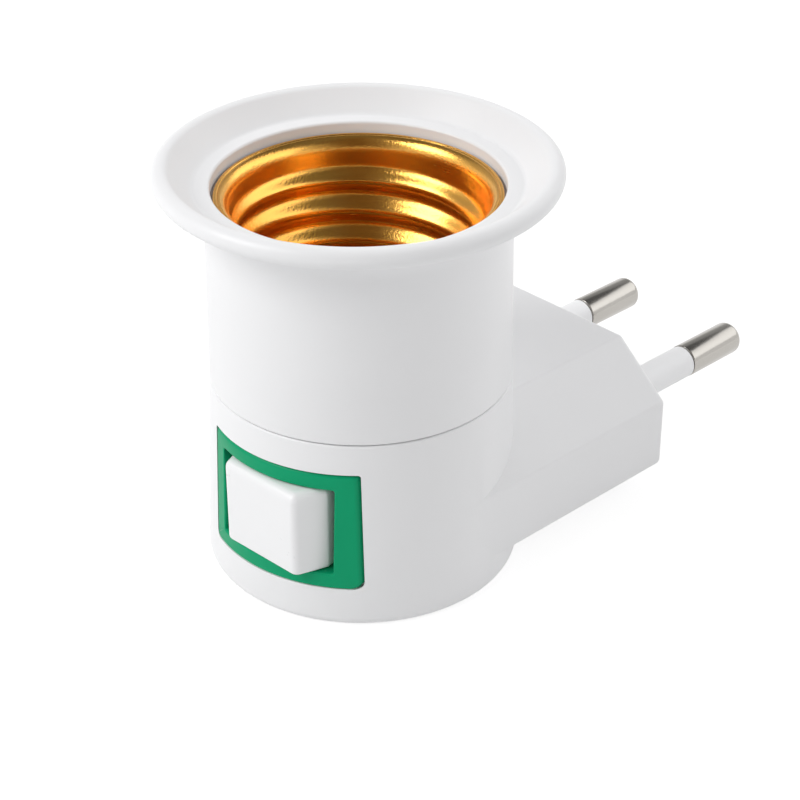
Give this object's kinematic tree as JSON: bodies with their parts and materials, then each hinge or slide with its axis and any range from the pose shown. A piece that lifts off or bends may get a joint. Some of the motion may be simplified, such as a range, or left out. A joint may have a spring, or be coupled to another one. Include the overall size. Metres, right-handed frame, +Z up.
{
  "type": "plug in lamp holder",
  "caption": "White moulded plug in lamp holder with a brass E27 screw socket in a dished flange, a two pin plug block at its side and a white rocker switch in a green frame.",
  "frame": {"origin": "centre of the round cup's flat underside", "axes": "+Z up along the lamp socket's axis, +Y towards the plug pins, +X to the right when the pins point away"},
  "size_m": [0.0426, 0.0757, 0.0465],
  "materials": {
    "housing_white": "white moulded thermoset, satin gloss",
    "rocker_white": "white moulded plastic, satin gloss",
    "sleeve_white": "white insulating plastic",
    "frame_green": "green moulded plastic, satin",
    "insulator_cream": "cream insulating moulding",
    "shell_brass": "bright drawn brass",
    "contact_brass": "stamped brass sheet",
    "pin_nickel": "nickel-plated brass",
    "button_silver": "silver contact face",
    "screw_steel": "zinc-plated steel",
    "wire_brown": "brown wire insulation",
    "wire_blue": "blue wire insulation"
  },
  "bodies": {
    "holder": {"upper_housing": "housing_white", "lower_housing": "housing_white", "base_cover": "housing_white", "cover_screw_1": "screw_steel", "cover_screw_2": "screw_steel", "cover_screw_3": "screw_steel", "screw_shell": "shell_brass", "contact_base": "insulator_cream", "centre_contact": "contact_brass", "centre_rivet": "contact_brass", "shell_rivet_live": "contact_brass", "shell_rivet_plain": "contact_brass", "centre_strap": "contact_brass", "shell_strap": "contact_brass", "pin_left": "pin_nickel", "pin_right": "pin_nickel", "pin_sleeve_left": "sleeve_white", "pin_sleeve_right": "sleeve_white", "pin_lug_left": "contact_brass", "pin_lug_right": "contact_brass", "switch_frame": "frame_green", "middle_terminal": "contact_brass", "side_terminal": "contact_brass", "fixed_button": "button_silver", "wire_pin_to_switch": "wire_brown", "wire_switch_to_centre": "wire_brown", "wire_pin_to_shell": "wire_blue"},
    "rocker_unit": {"rocker": "rocker_white", "plunger_spring": "screw_steel"},
    "plunger_unit": {"plunger": "insulator_cream"},
    "seesaw_unit": {"seesaw_contact": "contact_brass", "moving_button": "button_silver"}
  },
  "joints": [
    {"name": "rocker_tilt", "type": "hinge", "parent": "holder", "child": "rocker_unit", "pos_m": [0.00223, -0.00965, 0.01145], "axis": [0, 0, 1], "range_deg": [0, 20]},
    {"name": "plunger_slide", "type": "slide", "parent": "rocker_unit", "child": "plunger_unit", "axis": [0.0523, -0.9986, 0], "range_m": [0, 0.00025], "stiffness_N_per_m": 4},
    {"name": "seesaw_tilt", "type": "hinge", "parent": "holder", "child": "seesaw_unit", "pos_m": [0.00051, -0.00222, 0.01145], "axis": [0, 0, 1], "range_deg": [-8, 0]}
  ],
  "couplings": [
    {"joint": "seesaw_tilt", "follows": "rocker_tilt", "ratio": -0.4}
  ]
}
